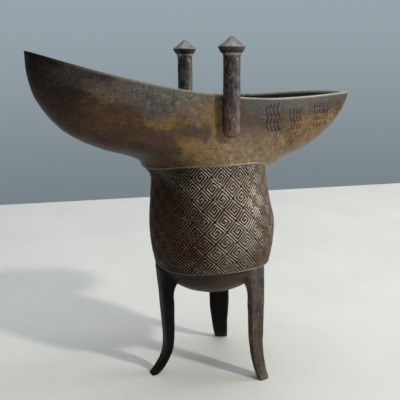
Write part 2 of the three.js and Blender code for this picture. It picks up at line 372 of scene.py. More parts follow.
def swell(points, size, seed):
    """Smooth random field between about -1 and 1: a sum of sine waves in seeded directions, with
    wavelengths near the given size."""
    generator = np.random.default_rng(seed)
    total = np.zeros(points.shape[:-1])
    waves = 9
    for _ in range(waves):
        direction = generator.normal(size=3)
        direction /= np.linalg.norm(direction)
        pitch = size * generator.uniform(0.7, 1.6)
        turn = generator.uniform(0, 2 * math.pi)
        total += np.sin(points @ direction * (2 * math.pi / pitch) + turn)
    return total / math.sqrt(waves)


def grid_normals(grid):
    """Unit normals of a grid closed round its second axis: cross product of its two steps."""
    along = np.roll(grid, -1, 1) - np.roll(grid, 1, 1)
    up = np.gradient(grid, axis=0)
    normals = np.cross(along, up)
    return normals / (np.linalg.norm(normals, axis=-1, keepdims=True) + 1e-15)


def grid_faces(rows, columns):
    """Quads of a grid closed round its columns, then fans to the pole before its first row and
    the pole after its last one."""
    level, column = np.meshgrid(np.arange(rows - 1), np.arange(columns), indexing="ij")
    following = (column + 1) % columns
    quads = np.stack(
        (
            level * columns + column,
            level * columns + following,
            (level + 1) * columns + following,
            (level + 1) * columns + column,
        ),
        -1,
    ).reshape(-1, 4)
    ring = np.arange(columns)
    onward = (ring + 1) % columns
    first = np.stack((np.full(columns, rows * columns), onward, ring), -1)
    top = (rows - 1) * columns
    last = np.stack((np.full(columns, rows * columns + 1), top + ring, top + onward), -1)
    return quads, np.concatenate((first, last))


def make_mesh(name, points, quads, triangles, values=None):
    """Puts whole arrays of points, quads and triangles into a new object, moved so that the
    belly's axis stands where the frame has it, with one value per point for each name."""
    mesh = bpy.data.meshes.new(name)
    moved = np.array(points, float)
    moved[:, 0] += axis_shift()
    loops = np.concatenate((quads.reshape(-1), triangles.reshape(-1))).astype(np.int32)
    sizes = np.concatenate((np.full(len(quads), 4), np.full(len(triangles), 3)))
    starts = np.concatenate(((0,), np.cumsum(sizes)[:-1])).astype(np.int32)
    mesh.vertices.add(len(moved))
    mesh.vertices.foreach_set("co", moved.astype(np.float32).reshape(-1))
    mesh.loops.add(len(loops))
    mesh.loops.foreach_set("vertex_index", loops)
    mesh.polygons.add(len(sizes))
    mesh.polygons.foreach_set("loop_start", starts)
    for value_name, data in (values or {}).items():
        attribute = mesh.attributes.new(value_name, "FLOAT", "POINT")
        attribute.data.foreach_set("value", np.asarray(data, np.float32).reshape(-1))
    mesh.update(calc_edges=True)
    mesh.validate()
    mesh.shade_smooth()
    piece = bpy.data.objects.new(name, mesh)
    bpy.context.scene.collection.objects.link(piece)
    return piece


def in_box(points):
    """Points seen from the belly's axis, held inside the solid's box."""
    shift = np.array((axis_shift(), 0, 0))
    return np.clip(points, np.array(NODE_LOW) - shift, np.array(NODE_HIGH) - shift)


def closed_mesh(name, grid, ends, values, flip=False):
    """The mesh of a grid closed round its columns and at a pole before its first row and one
    after its last. Each value comes as the grid's values and then those of both poles."""
    quads, triangles = grid_faces(*grid.shape[:2])
    if flip:
        quads, triangles = quads[:, ::-1], triangles[:, ::-1]
    points = np.concatenate((in_box(grid).reshape(-1, 3), ends))
    all_values = {
        key: np.concatenate((np.reshape(on_grid, -1), on_ends))
        for key, (on_grid, on_ends) in values.items()
    }
    return make_mesh(name, points, quads, triangles, all_values)


def settle(piece, material, replaces=False):
    """Gives a finished piece its material and its place in the frame."""
    piece.data.materials.append(material)
    if replaces:
        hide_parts(NODE)
    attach(piece, BODY)
    return piece


def segment_distance(x, z, start, end):
    """Distance in the x-z plane from each point to a segment, and the share along it."""
    dx, dz = end[0] - start[0], end[1] - start[1]
    share = np.clip(((x - start[0]) * dx + (z - start[1]) * dz) / (dx * dx + dz * dz), 0, 1)
    return np.hypot(x - start[0] - share * dx, z - start[1] - share * dz), share


# Rows of plain strokes on the tail's near flank, in millimetres: the middle of each group along
# the length, its height and half sizes, and how many rows and strokes to a row it has
STROKE_GROUPS = (
    (20.3, 125.0, 4.2, 6.4, 4, 4),
    (33.8, 123.4, 4.2, 5.0, 3, 4),
    (52.0, 124.2, 5.8, 6.0, 4, 6),
    (66.6, 126.0, 3.0, 3.8, 3, 3),
)
STROKE_WIDTH = 0.3
STROKE_DEPTH = 0.36


def stroke_segments():
    """Segments of the strokes: in every group, rows of short dashes that never touch. All
    dashes of a row lean the same way and those of the next row the other way, each shifted a
    little by a seeded draw."""
    generator = np.random.default_rng(31)
    jitter = 0.15
    slant = 0.45
    row_share = 0.72
    segments = []
    for middle, height, half_x, half_z, rows, count in STROKE_GROUPS:
        for row in range(rows):
            z = height + half_z * (1 - (2 * row + 1) / rows)
            reach = row_share * half_z / rows
            lean = slant if row % 2 == 0 else -slant
            for place in range(count):
                x = middle + half_x * ((2 * place + 1) / count - 1)
                spot = np.array((x, z)) + generator.uniform(-jitter, jitter, 2)
                grown = np.array((lean * reach, reach)) * generator.uniform(0.85, 1.1)
                segments.append(((spot - grown) * MM, (spot + grown) * MM))
    return segments


def stroke_depth(points):
    """Share of a stroke's full depth at each point of the near flank: a round-bottomed cut."""
    near = (points[..., 1] < 0) & (points[..., 0] > 0)
    depth = np.zeros(points.shape[:-1])
    for start, end in stroke_segments():
        distance, share = segment_distance(points[..., 0], points[..., 2], start, end)
        width = STROKE_WIDTH * MM * (1.15 - 0.5 * share)
        depth = np.maximum(depth, np.sqrt(np.clip(1 - (distance / width) ** 2, 0, None)))
    return np.where(near, depth, 0)


def shell_angles():
    """Meridians of the shell, from the spout round the near side to the tail and back: evenly
    turned, but evenly spaced in length along the part of the near flank that is cut."""
    cut_start, cut_end = 0.2, 0.985
    cut_count, far_count = 210, 112
    fine = np.arccos(np.linspace(cut_start, cut_end, cut_count))
    spout = np.linspace(math.pi, math.pi / 2, 64, endpoint=False)
    middle = np.linspace(math.pi / 2, fine[0], 8, endpoint=False)
    tip = np.linspace(fine[-1], 0, 7)[1:]
    near = -np.concatenate((spout, middle, fine, tip))
    return np.concatenate((near, np.linspace(0, math.pi, far_count)[1:-1]))


def build_shell():
    """The whole vessel without its diaper: a stack of rings from the middle of the round bottom
    up the outside, over the lip and down the inside."""
    bowl = bowl_sizes()
    belly = belly_sizes()
    angle = shell_angles()
    top = band_top(angle)
    low = band_low(angle)
    rows = []

    def add(ring, inside=0.0, lip=0.0):
        """Adds one ring, and how far it counts as inside and as lip."""
        rows.append((ring, inside, lip))

    floor_rows = 16
    for k in range(1, floor_rows + 1):
        add(floor_point(angle, k / floor_rows, 0, 0))
    bead = belly.line_height
    for drop, offset in ((-0.25, 0.1), (-0.1, 0.8), (0.1, 1.0), (0.3, 0.8), (0.42, 0.0)):
        add(belly_point(angle, low + drop * MM, bead * offset), lip=0.5 * offset)
    behind_diaper = -1.0 * MM
    for share in np.linspace(0.03, 0.97, 12):
        add(belly_point(angle, mix(low, top, share), behind_diaper))
    for drop, offset in ((-0.5, -0.4), (-0.35, 0.6), (-0.1, 1.15), (0.15, 1.15), (0.35, 0.6)):
        add(belly_point(angle, top + drop * MM, bead * offset), lip=0.4 * max(0, offset))
    lip_out = lip_height(angle, 0.0)
    dense = 0.3 * np.linspace(0, 1, 18) ** 1.6
    start = top + 0.5 * MM
    for share in np.concatenate((dense, np.linspace(dense[-1], 0.985, 90)[1:])):
        near_lip = 0.7 * max(0.0, (share - 0.965) / 0.02)
        add(hull_point(angle, mix(start, lip_out, share), 0.0), lip=near_lip)
    rounding = 0.22 * MM
    lip_steps = 8
    for k in range(lip_steps + 1):
        turn = math.pi * k / lip_steps
        inset = bowl.wall * (1 - math.cos(turn)) / 2
        height = lip_height(angle, inset) - rounding * (1 - math.sin(turn) ** 0.6)
        add(hull_point(angle, height, inset), k / lip_steps, max(0.8, math.sin(turn) ** 0.5))
    lip_in = lip_height(angle, bowl.wall) - rounding
    start = top + bowl.wall + 0.6 * MM
    for share in np.linspace(1, 0, 30)[1:] ** 1.4:
        add(hull_point(angle, mix(start, lip_in, share), bowl.wall), inside=1.0)
    for share in np.linspace(1, 0, 14):
        add(belly_point(angle, mix(low, top, share), -bowl.wall), inside=1.0)
    inner_rows = 12
    for k in range(inner_rows - 1, 0, -1):
        add(floor_point(angle, k / inner_rows, bowl.wall, bowl.floor_wall), inside=1.0)
    grid = np.stack([ring for ring, _, _ in rows])
    blank = np.zeros((1, len(angle)))
    inside = np.array([row[1] for row in rows])[:, None] + blank
    lip = np.array([row[2] for row in rows])[:, None] + blank
    normals = grid_normals(grid)
    cut = stroke_depth(grid) * (inside < 0.05)
    held = 1 - 0.8 * lip
    dents = 0.09 * MM * swell(grid, 26 * MM, 3) + 0.035 * MM * swell(grid, 7 * MM, 4)
    grid = grid + normals * (dents * held - cut * STROKE_DEPTH * MM)[..., None]
    ends = ((0, 0, belly.floor_height), (0, 0, belly.floor_height + bowl.floor_wall))
    values = {"inside": (inside, (0, 1)), "lip": (lip, (0, 0)), "cut": (cut, (0, 0))}
    return closed_mesh("vessel_shell", grid, ends, values)


# Square spiral of one lozenge, on a grid of eleven by eleven lines: inside a closed frame, the
# corners of a line that winds inwards from it
SPIRAL_LINES = 11
SPIRAL_PATH = ((0, 2), (8, 2), (8, 8), (2, 8), (2, 4), (6, 4), (6, 6), (4, 6))


def spiral_map():
    """Grid of 1 on the raised lines of a lozenge and 0 on its ground, with a border of ground."""
    last = SPIRAL_LINES - 1
    picture = np.zeros((SPIRAL_LINES, SPIRAL_LINES))
    picture[[0, last], :] = 1
    picture[:, [0, last]] = 1
    for (a, b), (c, d) in zip(SPIRAL_PATH[:-1], SPIRAL_PATH[1:]):
        picture[min(a, c) : max(a, c) + 1, min(b, d) : max(b, d) + 1] = 1
    return np.pad(picture, 1)


def lozenge_steps():
    """Places of a lozenge's grid lines as shares of its side, and the spiral line that each one
    lies on: two grid lines to each raised or sunk line, so that its sides slope."""
    flank = 0.24
    lines = np.arange(SPIRAL_LINES)
    inner = np.stack((lines + flank, lines + 1 - flank), -1).reshape(-1)
    places = np.concatenate(((-0.5, -flank), inner, (SPIRAL_LINES + flank,)))
    owners = np.concatenate(((0, 0), np.repeat(lines + 1, 2), (SPIRAL_LINES + 1,)))
    return (places + 0.5) / (SPIRAL_LINES + 1), owners


def build_diaper(name, first, last):
    """A stretch of the diaper, from one lozenge round the belly to another. Every lozenge is a
    square grid turned on its corner: its two sides run up to the right and up to the left, and
    the half lozenges on the border lines are cut off along their diagonals."""
    belly = belly_sizes()
    places, owners = lozenge_steps()
    size = len(places)
    picture = spiral_map()
    count = belly.lozenges
    half_rows = belly.half_rows
    sums = np.arange(-1, half_rows)
    steps = np.arange(size + 1)
    here = np.arange(first, last)
    lozenge, total, i, j = np.meshgrid(here, sums, steps, steps, indexing="ij")
    spots = np.append(places, 1.0)
    kinds = np.append(owners, 0)
    odd = total % 2
    across = lozenge + odd * 0.5 + (spots[i] - spots[j]) / 2
    above = total + spots[i] + spots[j]
    kind_i, kind_j = kinds[i], kinds[j]
    half_turned = picture[kind_i[..., ::-1, ::-1], kind_j[..., ::-1, ::-1]]
    raised = np.where(odd == 1, half_turned, picture[kind_i, kind_j])
    border = (kind_i % (SPIRAL_LINES + 1) == 0) | (kind_j % (SPIRAL_LINES + 1) == 0)
    seam = -0.35
    raised = np.where(border, seam, raised)
    # A point's number is its row on the whole belly times the stride, plus its column, so that
    # neighbouring lozenges share the points on their common side
    stride = 100000
    column = 2 * size * lozenge + odd * size + i - j
    key = (total * size + i + j + size) * stride + column + 2 * size
    base = key[:, :, :-1, :-1]
    right = key[:, :, 1:, :-1]
    left = key[:, :, :-1, 1:]
    upper = key[:, :, 1:, 1:]
    halves = (np.stack(three, -1) for three in ((base, right, left), (right, upper, left)))
    triangles = np.concatenate([half.reshape(-1, 3) for half in halves])
    row = triangles // stride
    kept = ((row >= size) & (row <= half_rows * size + size)).all(axis=1)
    triangles = triangles[kept]
    used, first_seen = np.unique(key.reshape(-1), return_index=True)
    wanted, triangles = np.unique(triangles, return_inverse=True)
    triangles = triangles.reshape(-1, 3)
    pick = first_seen[np.searchsorted(used, wanted)]
    across, above, raised = (part.reshape(-1)[pick] for part in (across, above, raised))
    turn = -math.pi + (across * 4 + 1) / (4 * count) * 2 * math.pi
    share = np.clip(above / half_rows, 0, 1)
    flat = belly_point(turn, mix(band_low(turn), band_top(turn), share), 0)
    sideways, upwards = 0.0042, 0.0035
    turn = turn + sideways * swell(flat, 9 * MM, 11)
    share_here = share + upwards * swell(flat, 8 * MM, 12) * np.sin(math.pi * share) ** 0.5
    z = mix(band_low(turn), band_top(turn), share_here)
    wear = ease(0.5 + 0.55 * swell(flat, 20 * MM, 13))
    bare = ease((swell(flat, 15 * MM, 14) - 0.7) * 0.9)
    strength = (0.7 + 0.3 * wear) * (1 - 0.45 * bare)
    edge = np.minimum(share, 1 - share) < 1e-6
    height = mix(-belly.groove, belly.ridge, raised)
    level = belly.ridge - (belly.ridge - height) * strength
    level = level + 0.03 * MM * swell(flat, 2.4 * MM, 15)
    level = np.where(edge, -belly.groove - 0.2 * MM, level)
    points = in_box(belly_point(turn, z, level))
    values = {"relief": np.clip(raised, 0, 1), "worn": np.clip(wear + bare, 0, 1)}
    return make_mesh(name, points, np.zeros((0, 4), int), triangles, values)


def round_turns(sides, start=0):
    """Even turns round a circle."""
    return (np.arange(sides) + start) / sides * 2 * math.pi


def revolve(profile, sides):
    """Rings of a profile of (radius, height) turned about the upright axis."""
    turn = round_turns(sides)
    radius, height = np.array(profile, float).T[..., None]
    return np.stack((radius * np.cos(turn), radius * np.sin(turn), height + 0 * turn), -1)


def round_off(profile, reach, steps):
    """A profile whose corners are rounded: near each inner corner the path is a parabola between
    points that lie the given reach before and after it."""
    path = np.array(profile, float)
    out = [path[0]]
    for before, corner, after in zip(path[:-2], path[1:-1], path[2:]):
        back = np.linalg.norm(before - corner)
        ahead = np.linalg.norm(after - corner)
        start = corner + (before - corner) * min(0.45, reach / back)
        end = corner + (after - corner) * min(0.45, reach / ahead)
        for t in np.linspace(0, 1, steps):
            out.append((1 - t) ** 2 * start + 2 * t * (1 - t) * corner + t * t * end)
    out.append(path[-1])
    return np.array(out)


def post_middle(side):
    """Where a post's axis stands along the length: the near one a little nearer to the tail."""
    shift = post_sizes().near_post_shift if side < 0 else 0
    return bowl_sizes().widest_x + shift


def build_post(name, side):
    """One post with its cap: a rod with a round foot, a thin collar, a short funnel and a cone."""
    bowl = bowl_sizes()
    post = post_sizes()
    foot = [
        (post.post_radius * math.sin(a), post.post_foot + post.post_radius * (1 - math.cos(a)))
        for a in np.linspace(0.02, math.pi / 2, 14)
    ]
    low = post.cap_under - post.collar
    shaft = [(post.post_radius, z) for z in np.linspace(foot[-1][1], low, 24)[1:-1]]
    step = post.post_radius + post.collar_step
    head = [
        (post.post_radius, low),
        (step, low + post.collar / 3),
        (step, post.cap_under - post.collar / 4),
        (post.cap_under_radius - 0.3 * MM, post.cap_under),
        (post.cap_under_radius, post.cap_under + 0.25 * MM),
        (post.cap_radius, post.cap_wide),
        (post.cap_radius * 0.5, mix(post.cap_wide, post.cap_top, 0.5)),
        (0.35 * MM, post.cap_top - 0.05 * MM),
        (0.02 * MM, post.cap_top),
    ]
    profile = np.concatenate((np.array(foot + shaft), round_off(head, 0.28 * MM, 5)))
    sides = 56
    grid = revolve(profile, sides)
    reach = bowl.half_width + post.post_radius - post.post_seat
    place = np.array((post_middle(side), side * reach, 0))
    normals = grid_normals(grid)
    lumps = 0.05 * swell(grid + place, 5 * MM, 21) + 0.03 * swell(grid + place, 2 * MM, 22)
    fade = ease((post.cap_top - grid[..., 2]) / (1.5 * MM))
    grid = grid + normals * (MM * lumps * fade)[..., None] + place
    height = np.repeat(profile[:, 1], sides)
    edge = 0.6 * np.exp(-(((height - post.cap_wide) / (0.2 * MM)) ** 2))
    collar = np.exp(-(((height - (low + post.collar / 2)) / (0.4 * MM)) ** 4))
    cap = (height > post.cap_under).astype(float)
    ends = [(*place[:2], z) for z in (post.post_foot, post.cap_top)]
    values = {"lip": (np.maximum(edge, collar), (0, 0)), "cap": (cap, (0, 1))}
    return closed_mesh(name, grid, ends, values)


def build_post_seam(name, side):
    """The worn solder line round a post's foot: a thin tube along the post's outline on the wall,
    down one side, round the foot and up the other."""
    bowl = bowl_sizes()
    post = post_sizes()
    reach = post.post_radius * 1.01
    drop = reach * 1.18
    centre_z = post.post_foot + post.post_radius
    top = float(lip_line(np.array(bowl.widest_x))) - 1.2 * MM
    arc = np.linspace(0, math.pi, 25)
    rise = np.linspace(top, centre_z, 18, endpoint=False)
    straight = np.full(len(rise), reach)
    x = np.concatenate((-straight, -reach * np.cos(arc), straight))
    z = np.concatenate((rise, centre_z - drop * np.sin(arc), rise[::-1]))
    wall_curve = 60 * MM
    angle = np.arccos(np.clip(x / wall_curve, -1, 1)) * side
    y = hull_point(angle, z, 0.0)[:, 1]
    path = np.stack((x + post_middle(side), y, z), -1)
    ahead = np.gradient(path, axis=0)
    ahead /= np.linalg.norm(ahead, axis=-1, keepdims=True)
    out = np.array((0, side, 0.0))
    beside = np.cross(ahead, out)
    turn = round_turns(10)[:, None]
    ring = np.cos(turn) * beside[:, None, :] + np.sin(turn) * out
    thick = 0.3 * MM * (1 + 0.35 * swell(path, 3 * MM, 23))
    thick[[0, -1]] = 0.08 * MM
    grid = path[:, None, :] + thick[:, None, None] * ring * side
    blank = np.zeros(grid.shape[:2])
    values = {"lip": (blank + 1, (1, 1)), "cap": (blank, (0, 0))}
    return closed_mesh(name, grid, path[[0, -1]], values, flip=True)


def squared(values, power):
    """A circle's cosines or sines pushed outwards to a squarish oval's: a power that keeps the
    sign."""
    return np.sign(values) * np.abs(values) ** power


def build_leg(name, turn, *sizes):
    """One leg: rounded sections stacked from the sole to the line under the diaper. The outer
    face runs in to the waist and out again at the foot, and the top spreads under the bottom,
    where no point goes deeper than the middle of the wall."""
    *lengths, twist = sizes
    bowl = bowl_sizes()
    belly = belly_sizes()
    post = post_sizes()
    angle = math.radians(turn)
    foot_reach, waist_reach, waist_height, width, foot_width, top_extra, bow = (
        MM * value for value in lengths
    )
    top = float(band_low(np.array(angle))) - 0.25 * MM
    top_reach = belly.ring_radius + belly.line_height + post.leg_proud
    z = np.concatenate(((0, 0, 0.12 * MM, 0.35 * MM), np.linspace(0.9 * MM, top, 58), (top,)))
    below = np.clip((waist_height - z) / waist_height, 0, 1) ** 2.6
    above = np.clip((z - waist_height) / (top - waist_height), 0, 1) ** 1.2
    flare = np.clip((z - top + post.leg_flare_height) / post.leg_flare_height, 0, 1) ** 2
    flare = flare * post.leg_flare
    reach = waist_reach + (foot_reach - waist_reach) * below + (top_reach - waist_reach) * above
    slim = post.leg_slimness
    breadth = slim * mix(foot_width, width, np.minimum(1, z / waist_height) ** 0.8)
    extra = top_extra * np.clip((z - waist_height / 2) / (top / 2), 0, 1)
    breadth = breadth + flare * 0.9 + extra
    depth = slim * mix(post.sole_depth, post.leg_depth, z / top) + flare * 2.4 + extra
    rounding = (1.4, 0.35, 0.12, 0.03)
    shrink = np.zeros(len(z))
    shrink[: len(rounding)] = rounding
    shrink[-1] = 1.5
    shrink = shrink * MM
    sides = 64
    around = round_turns(sides, 0.5)
    centre = reach - depth / 2
    outer = (depth / 2 - shrink)[:, None] * squared(np.cos(around), post.leg_roundness)
    aside = (breadth / 2 - shrink)[:, None] * squared(np.sin(around), post.leg_roundness)
    own_turn = math.radians(twist)
    x = centre[:, None] + outer * math.cos(own_turn) - aside * math.sin(own_turn)
    y = outer * math.sin(own_turn) + aside * math.cos(own_turn)
    y = y + (bow * np.sin(math.pi * z / top))[:, None]
    grid = np.stack((x, y, z[:, None] + 0 * x), -1)
    lumps = 0.06 * MM * swell(grid, 9 * MM, int(turn) + 400)
    body = ease(grid[..., 2] / (2 * MM))
    grid = grid + grid_normals(grid) * (lumps * body)[..., None]
    cosine, sine = math.cos(angle), math.sin(angle)
    grid = grid @ np.array(((cosine, sine, 0), (-sine, cosine, 0), (0, 0, 1)))
    wall_radius = belly.ring_radius - belly.ring_step - bowl.wall / 2
    share = np.hypot(grid[..., 0], grid[..., 1]) / wall_radius
    wall_foot = belly.floor_height + bowl.floor_wall / 2
    middle = mix(wall_foot, top - belly.ring_step, cap_rise(share))
    grid[..., 2] = np.where(share < 1, np.minimum(grid[..., 2], middle), grid[..., 2])
    ends = grid[[0, -1]].mean(axis=1)
    corner = np.abs(np.cos(around) * np.sin(around)) * 2
    edge_wear = np.repeat(ease(1 - z / (4 * MM)), sides)
    ridge = np.tile(ease((corner - 0.72) * 4) * (np.cos(around) > 0), len(z)) * 0.25
    values = {"lip": (np.maximum(edge_wear * 0.35, ridge), (0.3, 0))}
    return closed_mesh(name, grid, ends, values)


class Value:
    """One output socket, with arithmetic that adds Math nodes to its tree."""

    def __init__(self, net, socket):
        self.net = net
        self.socket = socket

    def __add__(self, other):
        return self.net.maths("ADD", self, other)

    __radd__ = __add__

    def __mul__(self, other):
        return self.net.maths("MULTIPLY", self, other)

    __rmul__ = __mul__

    def __sub__(self, other):
        return self.net.maths("SUBTRACT", self, other)

    def __rsub__(self, other):
        return self.net.maths("SUBTRACT", other, self)

    def __truediv__(self, other):
        return self.net.maths("DIVIDE", self, other)


class Net:
    """A material's node tree, or the world's. Every node comes from one method."""

    def __init__(self, name, tree=None):
        self.tree = tree
        if tree is None:
            self.material = bpy.data.materials.new(name)
            self.material.use_nodes = True
            self.tree = self.material.node_tree
            self.tree.nodes.clear()
            self.place = self.node("ShaderNodeTexCoord", output="Object")

    def node(self, kind, settings=None, values=None, output=0):
        """Adds a node of a type, sets its own settings, then its inputs, and gives one output,
        or none for the tree's last node."""
        node = self.tree.nodes.new(kind)
        for key, setting in (settings or {}).items():
            setattr(node, key, setting)
        for key, value in (values or {}).items():
            if isinstance(value, Value):
                self.tree.links.new(value.socket, node.inputs[key])
            else:
                node.inputs[key].default_value = value
        if output is None:
            return None
        return Value(self, node.outputs[output])

    def maths(self, operation, first, second):
        settings = {"operation": operation}
        return self.node("ShaderNodeMath", settings, {0: first, 1: second})

    def step(self, value, low, high):
        """0 below low, 1 above high and a smooth step between them."""
        settings = {"interpolation_type": "SMOOTHSTEP"}
        values = {"Value": value, "From Min": low, "From Max": high}
        return self.node("ShaderNodeMapRange", settings, values)

    def blend(self, share, first, second):
        """Colour between first and second."""
        settings = {"data_type": "RGBA"}
        values = {0: share, 6: with_alpha(first), 7: with_alpha(second)}
        return self.node("ShaderNodeMix", settings, values, output=2)

    def noise(self, size_mm, detail=4.0, roughness=0.55, distortion=0.0, place=None, seed=0.0):
        """Noise whose features are about the given size."""
        settings = {"noise_dimensions": "4D"}
        values = {
            "Vector": place or self.place,
            "W": seed,
            "Scale": 1 / (size_mm * MM),
            "Detail": detail,
            "Roughness": roughness,
            "Distortion": distortion,
        }
        return self.node("ShaderNodeTexNoise", settings, values, output="Fac")

    def attribute(self, name):
        settings = {"attribute_type": "GEOMETRY", "attribute_name": name}
        return self.node("ShaderNodeAttribute", settings, output="Fac")

    def mapped(self, **values):
        """The tree's coordinates after a move, a turn or a change of scale."""
        return self.node("ShaderNodeMapping", None, {"Vector": self.place, **values})

    def split(self, vector):
        """The three parts of a vector."""
        values = {"Vector": vector}
        return [self.node("ShaderNodeSeparateXYZ", None, values, output=axis) for axis in "XYZ"]

    def axes(self):
        """The three coordinates in millimetres, seen from the belly's axis."""
        moved = self.mapped(Location=(-axis_shift(), 0, 0))
        return [part * (1 / MM) for part in self.split(moved)]

    def finish(self, colour_value, roughness, metallic, height, depth_mm, specular=0.35):
        """Closes the tree with a bump and the metal's shader."""
        relief = {"Height": height, "Strength": 0.55, "Distance": depth_mm * MM}
        bump = self.node("ShaderNodeBump", None, relief)
        values = {
            "Base Color": colour_value,
            "Roughness": roughness,
            "Metallic": metallic,
            "Normal": bump,
            "Specular IOR Level": specular,
        }
        shader = self.node("ShaderNodeBsdfPrincipled", None, values)
        self.node("ShaderNodeOutputMaterial", None, {"Surface": shader}, output=None)
        return self.material


def with_alpha(value):
    """A colour for a Mix node: a link stays, and three numbers get a full alpha."""
    if isinstance(value, Value):
        return value
    return (*value, 1.0)


def patina():
    return bpy.context.scene.jue_patina


class Bronze:
    """The noises and the ground colour that all pieces share: a brown ground with darker clouds
    and reddish streaks along the length."""

    def __init__(self, name, upright=False):
        self.net = net = Net(name)
        self.upright = upright
        self.x, self.y, self.z = net.axes()
        self.cloud = net.noise(24, detail=5, distortion=0.6)
        self.patch = net.noise(8, detail=6, roughness=0.62, distortion=0.8, seed=3.1)
        self.other = net.noise(8, detail=6, roughness=0.62, distortion=0.8, seed=8.4)
        self.grain = net.noise(2.0, detail=6, roughness=0.75, seed=5.7)
        self.fine = net.noise(0.8, detail=4, roughness=0.7, seed=9.3)
        self.streak = net.noise(3.2, detail=5, roughness=0.65, place=self.along(0.16), seed=2.2)
        self.scratch = net.noise(0.75, detail=3, roughness=0.6, place=self.along(0.09), seed=6.6)
        place = self.along(0.45) if upright else None
        self.mottle = net.noise(2.6, detail=4, roughness=0.6, distortion=1.6, place=place, seed=4.9)
        # Coordinates pushed about by noises, so that blots on them have ragged edges
        self.drift_x = self.x + (self.patch - 0.5) * 26 + (self.grain - 0.5) * 5
        self.drift_z = self.z + (self.other - 0.5) * 17 + (self.grain - 0.5) * 3.5
        ground = net.blend(net.step(self.cloud, 0.36, 0.66), patina().brown, patina().dark)
        self.paint = net.blend(net.step(self.streak, 0.5, 0.68) * 0.55, ground, patina().red)

    def along(self, squeeze):
        """Coordinates squeezed along the lip's slope, or along the height of an upright piece,
        so that noise on them turns to streaks."""
        turned = (0, 0 if self.upright else math.radians(7), 0)
        squeezed = (1, 1, squeeze) if self.upright else (squeeze, 1, 1)
        return self.net.mapped(Rotation=turned, Scale=squeezed)

    def lay(self, mask, tint):
        """Lays a colour over the paint where the mask is 1."""
        self.paint = self.net.blend(mask, self.paint, tint)

    def blot(self, x, z, reach_x, reach_z, hardness=0.25):
        """Mask of an oval blot with a ragged edge, in millimetres: 1 in the middle, 0 outside."""
        away_x = (self.drift_x - x) / reach_x
        away_z = (self.drift_z - z) / reach_z
        square = away_x * away_x + away_z * away_z
        return 1 - self.net.step(square, hardness, 1.9 - hardness)

    def lay_blots(self, rows, mask):
        """Lays a blot for each row of colour, share, middle and reach, where the mask is 1. A
        last number in a row is the blot's hardness."""
        for tint, share, *place in rows:
            self.lay(self.blot(*place) * mask * share, tint)

    def specks(self, cell, size, seed, cluster):
        """Mask of small ragged specks: the middles of random cells, each of its own size, where
        a noise lets them be."""
        net = self.net
        shifted = net.mapped(Location=(seed, seed, 0))
        values = {"Vector": shifted, "Scale": 1 / (cell * MM), "Randomness": 1.0}
        away = net.node("ShaderNodeTexVoronoi", None, values, output="Distance")
        tint = net.node("ShaderNodeTexVoronoi", None, values, output="Color")
        chance = net.node("ShaderNodeSeparateColor", None, {"Color": tint}, output="Red")
        reach = chance * chance * chance * size
        spot = 1 - net.step(away + (self.fine - 0.5) * 0.5 - reach, 0.0, 0.08)
        return spot * net.step(cluster, 0.5, 0.6)

    def dusting(self, low, high, cluster):
        """Mask of fine irregular dust, thickest where the other mask is high."""
        mixed = self.fine * 0.65 + self.grain * 0.35
        return self.net.step(mixed + cluster * 0.1, low, high)

    def grit(self, strength):
        """Fine light and dark grain over all colours, as a share of their brightness."""
        net = self.net
        grit = self.fine * 0.5 + self.grain * 0.5
        dark = net.step(grit, 0.5, 0.36)
        light = net.step(grit, 0.52, 0.66)
        shade = net.blend(dark * strength, self.paint, patina().dark)
        values = {"Vector": shade, "Scale": light * (strength * 1.6) + 1}
        self.paint = net.node("ShaderNodeVectorMath", {"operation": "SCALE"}, values)


